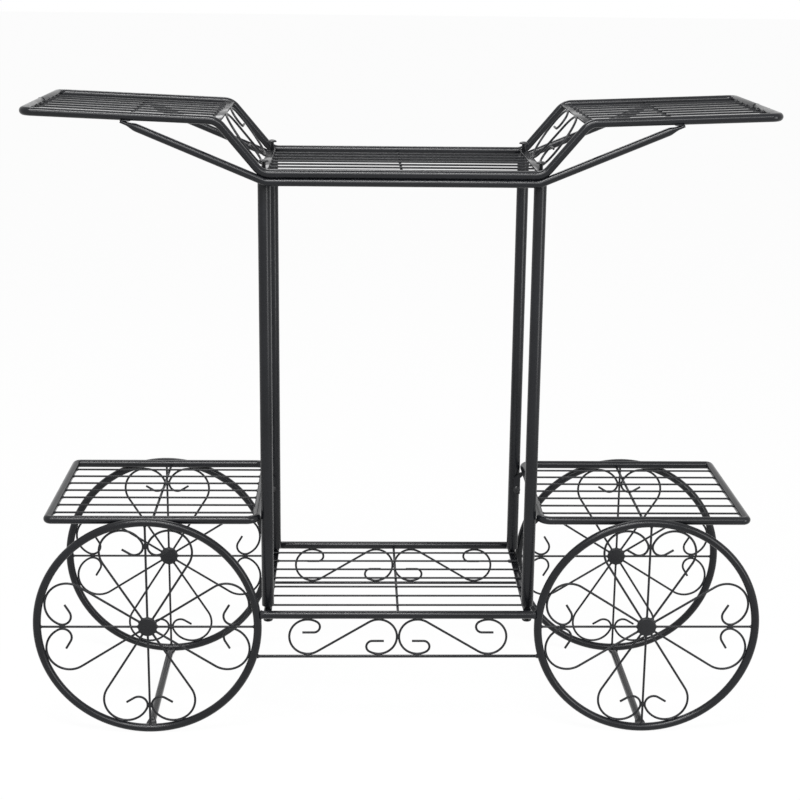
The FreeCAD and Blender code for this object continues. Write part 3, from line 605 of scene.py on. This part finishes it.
NECK_R, NECK = 5.75 * MM, 5.5 * MM
post_low, post_high = LOWER_BAR_Z + BAR_THICK / 2, UPPER_BAR_Z - BAR_THICK / 2
post_coat = black_coat("black_coat_on_post", (0.006, 0.0065, 0.008), 0.26, 900, 0.00008, 0.01)
height = post_high - post_low
lower_half = np.array([(NECK_R - 0.4 * MM, 0), (NECK_R, 0.4 * MM), (NECK_R, NECK - 0.3 * MM),
                       (NECK_R + 0.6 * MM, NECK), (POST_R - 1.2 * MM, NECK + 0.2 * MM),
                       (POST_R - 0.3 * MM, NECK + 0.7 * MM), (POST_R, NECK + 1.6 * MM)])
upper_half = lower_half[::-1] * [1, -1] + [0, height]
profile = np.concatenate([lower_half, [(POST_R, height / 2)], upper_half])
for depth, y_side in (("front", -1), ("rear", 1)):
    for hand, x_side in (("left", -1), ("right", 1)):
        foot = np.array([x_side * POST_X, y_side * POST_Y, post_low])
        make_piece("%s_%s_post_tube" % (depth, hand), [skin(lathe_rings(foot, Z, X, profile, 40))],
                   post_coat, ["%s_%s_post" % (depth, hand)])

HEAD_R, HEAD_HIGH, SHANK_R, BOLT_LENGTH = 7.5 * MM, 3.6 * MM, 3 * MM, 42 * MM
HEAD_RIM, SOCKET_R, SOCKET_DEPTH = 0.9 * MM, 2.3 * MM, 2 * MM
TOP_BOLT_GAP, LOWER_BOLT_GAP = 10.5 * MM, 14 * MM


def bolt_rings(seat, axis):
    """A bolt with a mushroom head: a plain shank, a flat underside, a thin rim, and a dome of
    height sqrt(1 - r squared) with a six-sided socket in it."""
    count = 36
    dome = np.linspace(1, 0.42, 8)
    rows = [(0.3 * SHANK_R, -BOLT_LENGTH), (0.8 * SHANK_R, -BOLT_LENGTH),
            (SHANK_R, -BOLT_LENGTH + 1 * MM), (SHANK_R, -0.2 * MM), (SHANK_R + 0.3 * MM, 0),
            (HEAD_R - 0.3 * MM, 0), (HEAD_R, 0.3 * MM), (HEAD_R, HEAD_RIM)]
    rise = np.sqrt(1 - (dome * dome - 0.17) / 0.83 * 0.98)
    rows += zip(HEAD_R * dome, HEAD_RIM + (HEAD_HIGH - HEAD_RIM) * rise)
    rings = lathe_rings(seat, axis, X, rows, count)
    a = np.linspace(0, 2 * np.pi, count, endpoint=False)
    hexagon = np.cos(np.pi / 6) / np.cos((a % (np.pi / 3)) - np.pi / 6)
    v = np.cross(axis, X)
    around = np.cos(a)[:, None] * X + np.sin(a)[:, None] * v
    lip = seat + axis * HEAD_HIGH + (SOCKET_R * hexagon)[:, None] * around
    wall_top, wall_foot = lip - axis * 0.1 * MM, lip - axis * SOCKET_DEPTH
    return np.concatenate([rings, [lip, wall_top, wall_foot]])


for word, seat_z, axis in (("top", UPPER_BAR_Z + BAR_THICK / 2 + TOP_BOLT_GAP, Z),
                           ("lower", LOWER_BAR_Z - BAR_THICK / 2 - LOWER_BOLT_GAP, -Z)):
    bolts = [skin(bolt_rings(np.array([x, y, seat_z]), axis))
             for x in (-POST_X, POST_X) for y in (-POST_Y, POST_Y)]
    make_piece(word + "_bolts_with_sockets", bolts, screw_coat, [word + "_post_bolts"])

# ------------------------------------------------------------------ welds
# Every joint but the posts' is welded: a small lumpy bead where a wire or tube ends against
# another, and a drop of weld on each side where a bent wire only touches.

weld_coat = black_coat("black_coat_on_weld", (0.008, 0.0085, 0.010), 0.38, 600, 0.00025, 0.05)

# Rise and length of each kind of bead.
SEAM_BEAD = (0.7 * MM, 3.2 * MM)
RAIL_BEAD = (1.0 * MM, 3 * MM)
TOP_SLAT_BEAD = (1.7 * MM, 4 * MM)
SIDE_SLAT_BEAD = (0.9 * MM, 2.2 * MM)
HOOP_BEAD = (0.9 * MM, 2.4 * MM)
HUB_BEAD = (0.9 * MM, 2.0 * MM)
# Half length, half width and half height of each kind of drop.
SLAT_DROP = (3 * MM, 1.9 * MM, 1.2 * MM)
BAR_DROP = (5.8 * MM, 1.7 * MM, 1.0 * MM)
BRACE_DROP = (8 * MM, 1.5 * MM, 1.3 * MM)
CURL_DROP = (5 * MM, 3.0 * MM, 1.1 * MM)
HEART_DROP = (5.5 * MM, 1.6 * MM, 1.1 * MM)
FLOOR_DROP = (6 * MM, 1.4 * MM, 0.9 * MM)
SCROLL_DROP = (5 * MM, 1.5 * MM, 1.0 * MM)
MIDDLE_DROP = (4 * MM, 2.0 * MM, 1.9 * MM)
WHEEL_TOP_DROP = (16 * MM, 2.4 * MM, 1.5 * MM)
PLATE_DROP = (4.5 * MM, 1.2 * MM, 1.2 * MM)


def bead_rings(seat, away, radius, rise, length, phase=0.0, count=18):
    """A bead round a wire that ends in something at seat: radius + rise (1 - t) squared at the
    share t of its length, with a slow ripple round the wire."""
    side = X if abs(away @ X) < 0.9 else Z
    side = unit(side - (side @ away) * away)
    v = np.cross(away, side)
    t = np.array([-0.35, 0.0, 0.25, 0.5, 0.75, 1.0])[:, None]
    a = np.linspace(0, 2 * np.pi, count, endpoint=False)[None]
    swell = rise * np.clip(1 - t, 0, 1) ** 1.6
    ripple = 1 + 0.22 * np.sin(3 * a + phase) + 0.12 * np.sin(7 * a + 2 * phase)
    r = radius * 0.985 + swell * ripple + 0.04 * MM
    around = np.cos(a)[..., None] * side + np.sin(a)[..., None] * v
    return seat + (t * length)[..., None] * away + r[..., None] * around


def dressed(rings):
    """A weld ground flush with the outermost faces of the rails and the wheels, in depth and
    in height."""
    far = np.array([np.inf, PANEL_Y + FRAME_R, TIP_Z + TOP_R])
    return np.clip(rings, -far, far)


def drop_rings(centre, along, out, half_long, half_wide, half_high, phase=0.0, count=14):
    """A drop of weld: an ellipsoid centre + (long cos b, wide sin b cos a, high sin b sin a),
    with a slow ripple along it."""
    b = np.linspace(0.12, np.pi - 0.12, 9)[:, None]
    a = np.linspace(0, 2 * np.pi, count, endpoint=False)[None]
    across = np.cross(along, out)
    ripple = 1 + 0.13 * np.sin(9 * b + phase) + 0 * a
    return (centre + (half_long * -np.cos(b) + 0 * a)[..., None] * along
            + (half_wide * np.sin(b) * np.cos(a) * ripple)[..., None] * across
            + (half_high * np.sin(b) * np.sin(a) * ripple)[..., None] * -out)


top_welds = []
phase = 0.0
for side in (-1, 1):
    seam = np.array([side * TIP_X, 0, TIP_Z])
    for away in (-Y, Y):
        bead = bead_rings(seam - away * 0.5 * MM, away, TOP_R, *SEAM_BEAD, side)
        top_welds.append(skin(dressed(bead)))
    for y in slat_rows(TOP_PITCH):
        phase += 1.3
        for x, away in ((TIP_X - TOP_R, -side * X), (BEND_X + BAR_HALF, side * X)):
            seat = np.array([side * x, y, wing_z(x)])
            top_welds.append(skin(bead_rings(seat, away, SLAT_R, *TOP_SLAT_BEAD, phase + x)))
        place = np.array([side * (POST_X - BAR_HALF), y, UPPER_SLAT_Z + 0.8 * MM])
        top_welds.append(skin(drop_rings(place, X, Z, *SLAT_DROP, phase)))
    for x, z in ((POST_X, UPPER_BAR_Z), (BEND_X, BEND_BAR_Z)):
        for y_side in (-1, 1):
            seat = np.array([side * x, y_side * (TOP_Y - TOP_R), z])
            for up in (1, -1):
                place = seat + up * 1.5 * MM * Z - y_side * 0.2 * MM * Y
                top_welds.append(skin(drop_rings(place, X, Z, *BAR_DROP, up + x)))
    for y_side in (-1, 1):
        end = np.array([side * (BRACE_REACH - 7 * MM), y_side * TOP_Y,
                        wing_z(BRACE_REACH) - TOP_R - 0.3 * MM])
        for out in (-1, 1):
            place = end + out * 4.6 * MM * Y
            top_welds.append(skin(drop_rings(place, X, Z, *BRACE_DROP, out)))
make_piece("top_shelf_welds", top_welds, weld_coat)

# Past its straight start, a half heart comes nearest to the spoke where its curl touches it.
CURL_FROM = 120 * MM
past_start = half_heart[half_heart[:, 2] >= CURL_FROM]
curl_touch = past_start[np.argmin(past_start[:, 0])]
lean_out = np.array([np.sin(HEART_LEAN), 0, np.cos(HEART_LEAN)])
wheel_welds = []
for y_side in (-1, 1):
    for x_side in (-1, 1):
        centre = np.array([x_side * HUB_X, y_side * PANEL_Y, HUB_Z])
        for q in range(4):
            axis = quarter_turn(Z, q)
            phase += 0.7
            seat = centre + axis * (RIM_R - FRAME_R)
            wheel_welds.append(skin(bead_rings(seat, -axis, WIRE_R, *HOOP_BEAD, phase)))
            seat = centre + axis * HUB_R
            wheel_welds.append(skin(bead_rings(seat, axis, WIRE_R, *HUB_BEAD, phase + 1)))
            touch = centre + axis * curl_touch[2]
            for face in (-1, 1):
                place = touch + face * 0.9 * MM * Y
                wheel_welds.append(skin(drop_rings(place, axis, face * Y, *CURL_DROP, phase)))
            for s in (-1, 1):
                out = quarter_turn(lean_out * [s, 1, 1], q)
                along = np.cross(out, Y)
                rim_touch = centre + out * (RIM_R - FRAME_R)
                for face in (-1, 1):
                    place = rim_touch - out * 0.8 * MM + face * 1.5 * MM * Y
                    wheel_welds.append(skin(drop_rings(place, along, face * Y, *HEART_DROP,
                                                       phase + s)))
                start = unit(quarter_turn(half_heart[0] * [s, 1, 1], q))
                seat = centre + start * HUB_R
                wheel_welds.append(skin(bead_rings(seat, start, WIRE_R, *HUB_BEAD,
                                                   phase + 2 + s)))
make_piece("wheel_welds", wheel_welds, weld_coat)

low_welds = []
for y_side in (-1, 1):
    y = y_side * PANEL_Y
    for side in (-1, 1):
        for z, radius in ((LOWER_RAIL_Z, FRAME_R), (LOWER_WIRE_Z, LOWER_WIRE_R)):
            seat = np.array([side * (rim_side(z) - 2 * SINK - 0.5 * MM), y, z])
            bead = bead_rings(seat, -side * X, radius, *RAIL_BEAD, z * 90, 24)
            low_welds.append(skin(dressed(bead)))
        seat = np.array([side * HUB_X, y_side * (PANEL_Y - FRAME_R), HUB_Z - RIM_R])
        for up in (1, -1):
            place = seat + up * 2 * MM * Z
            low_welds.append(skin(drop_rings(place, X, Z, *FLOOR_DROP, up)))
        for sign in (-1, 1):
            x = side * PANEL_S_X + sign * PANEL_PITCH / 2
            for z, inward in ((gap_top, -0.6 * MM), (gap_bottom, 0.6 * MM)):
                for face in (-1, 1):
                    place = np.array([x, y + face * 1.4 * MM, z + inward])
                    low_welds.append(skin(drop_rings(place, X, face * Y, *SCROLL_DROP,
                                                     x * 50)))
        top_of_wheel = np.array([side * HUB_X, y_side * (PANEL_Y - FRAME_R), SIDE_Z])
        for up in (-1, 1):
            place = top_of_wheel + up * 2.2 * MM * Z
            low_welds.append(skin(drop_rings(place, X, Z, *WHEEL_TOP_DROP, up * 2.0)))
        if y_side < 0:
            rows = zip(slat_rows(SIDE_PITCH), slat_rows(LOWER_PITCH))
            for i, (side_row, lower_row) in enumerate(rows):
                for x, away in ((SIDE_IN + FRAME_R, side), (SIDE_OUT - FRAME_R, -side)):
                    seat = np.array([side * x, side_row, SIDE_Z])
                    low_welds.append(skin(bead_rings(seat, away * X, SLAT_R, *SIDE_SLAT_BEAD,
                                                     i + x)))
                place = np.array([side * (POST_X - BAR_HALF), lower_row,
                                  LOWER_SLAT_Z - 0.8 * MM])
                low_welds.append(skin(drop_rings(place, X, Z, *SLAT_DROP, i)))
        bar_seat = np.array([side * POST_X, y_side * (PANEL_Y - FRAME_R), LOWER_BAR_Z])
        for up in (1, -1):
            place = bar_seat + up * 1.5 * MM * Z - y_side * 0.2 * MM * Y
            low_welds.append(skin(drop_rings(place, X, Z, *BAR_DROP, up)))
        touch = np.array([0, y, PANEL_MID_Z])
        low_welds.append(skin(drop_rings(touch, Z, side * Y, *MIDDLE_DROP, side)))
        plate_top = np.array([side * SIDE_IN, y_side * (POST_Y - POST_R - PLATE_THICK / 2),
                              SIDE_Z - FRAME_R])
        for face in (-1, 1):
            place = plate_top + face * 1.7 * MM * Y
            low_welds.append(skin(drop_rings(place, X, Z, *PLATE_DROP, face)))
make_piece("lower_welds", low_welds, weld_coat)

# ------------------------------------------------------------------ camera
# The view of the photograph: slightly left of the middle, a little over the top shelf.

EYE = Vector((-0.0738, -2.6357, 1.2010))
yaw, pitch, roll = np.radians((1.685, 14.856, 0.642))
forward = np.array([np.sin(yaw) * np.cos(pitch), np.cos(yaw) * np.cos(pitch), -np.sin(pitch)])
level = np.array([np.cos(yaw), -np.sin(yaw), 0.0])
upright = np.cross(level, forward)
right = np.cos(roll) * level + np.sin(roll) * upright
up = -np.sin(roll) * level + np.cos(roll) * upright
SENSOR, FOCAL_PIXELS, VIEW_PIXELS = 36, 1700, 800
camera_data = bpy.data.cameras.new("camera")
camera_data.sensor_width = SENSOR
camera_data.sensor_fit = "HORIZONTAL"
camera_data.lens = SENSOR * FOCAL_PIXELS / VIEW_PIXELS
camera_data.clip_end = 50
camera = bpy.data.objects.new("camera", camera_data)
turn = Matrix((right, up, -forward)).transposed().to_4x4()
camera.matrix_world = Matrix.Translation(EYE) @ turn
bpy.context.scene.collection.objects.link(camera)
bpy.context.scene.camera = camera

# ------------------------------------------------------------------ floor, light and world
# A white studio floor that keeps a faint shadow, a white world, and soft lamps above. The camera,
# reflections and anything clear all see the same white. WHITE_SHARE of the floor glows for them,
# the rest takes light and shadow, and HIDDEN_LIGHT is the world's strength for all other rays.

FLOOR_HALF = 30
WHITE_SHARE, HIDDEN_LIGHT = 0.96, 0.35


def join(tree, operation, first, second):
    """One Math node. Each of its two inputs is a number or another node's output."""
    node = tree.nodes.new("ShaderNodeMath")
    node.operation = operation
    for socket, value in zip(node.inputs, (first, second)):
        if isinstance(value, (int, float)):
            socket.default_value = value
        else:
            tree.links.new(value, socket)
    return node.outputs["Value"]


def seen_white(tree):
    """1 for rays of the camera, of reflections and through something clear, or else 0."""
    path = tree.nodes.new("ShaderNodeLightPath").outputs
    return join(tree, "MAXIMUM", path["Is Glossy Ray"],
                join(tree, "MAXIMUM", path["Is Camera Ray"], path["Is Transmission Ray"]))


floor_mesh = bpy.data.meshes.new("floor")
floor_corners = [(x * FLOOR_HALF, y * FLOOR_HALF, 0)
                 for x, y in ((-1, -1), (1, -1), (1, 1), (-1, 1))]
floor_mesh.from_pydata(floor_corners, [], [(0, 1, 2, 3)])
floor = bpy.data.objects.new("floor", floor_mesh)
bpy.context.scene.collection.objects.link(floor)
floor_mat = bpy.data.materials.new("white_floor")
floor_mat.use_nodes = True
tree = floor_mat.node_tree
tree.nodes.clear()
out = tree.nodes.new("ShaderNodeOutputMaterial")
matte = tree.nodes.new("ShaderNodeBsdfDiffuse")
matte.inputs["Color"].default_value = (0.85, 0.85, 0.85, 1)
white = tree.nodes.new("ShaderNodeEmission")
white.inputs["Color"].default_value = (1, 1, 1, 1)
white.inputs["Strength"].default_value = 1.0
mix = tree.nodes.new("ShaderNodeMixShader")
tree.links.new(join(tree, "MULTIPLY", seen_white(tree), WHITE_SHARE), mix.inputs["Fac"])
tree.links.new(matte.outputs["BSDF"], mix.inputs[1])
tree.links.new(white.outputs["Emission"], mix.inputs[2])
tree.links.new(mix.outputs["Shader"], out.inputs["Surface"])
floor_mesh.materials.append(floor_mat)

world = bpy.data.worlds.new("studio_world")
bpy.context.scene.world = world
world.use_nodes = True
tree = world.node_tree
background = tree.nodes["Background"]
background.inputs["Color"].default_value = (1, 1, 1, 1)
tree.links.new(join(tree, "MAXIMUM", seen_white(tree), HIDDEN_LIGHT),
               background.inputs["Strength"])

for name, place, aim, wide, high, power in (
        ("key", (-0.5, -1.7, 3.4), (0, 0, 0.6), 2.0, 0.5, 100),
        ("front", (0.1, -3.0, 2.6), (0, 0, 0.6), 3.0, 1.1, 70),
        ("fill", (2.1, -1.9, 0.9), (0, 0, 0.5), 1.0, 1.7, 30),
        ("back", (-0.4, 2.2, 3.0), (0, 0, 0.6), 1.4, 0.7, 20)):
    lamp_data = bpy.data.lights.new(name, "AREA")
    lamp_data.shape = "RECTANGLE"
    lamp_data.size = wide
    lamp_data.size_y = high
    lamp_data.energy = power
    lamp = bpy.data.objects.new(name, lamp_data)
    lamp.location = place
    lamp.rotation_euler = (Vector(aim) - Vector(place)).to_track_quat("-Z", "Y").to_euler()
    bpy.context.scene.collection.objects.link(lamp)

bpy.context.scene.view_settings.view_transform = "Standard"
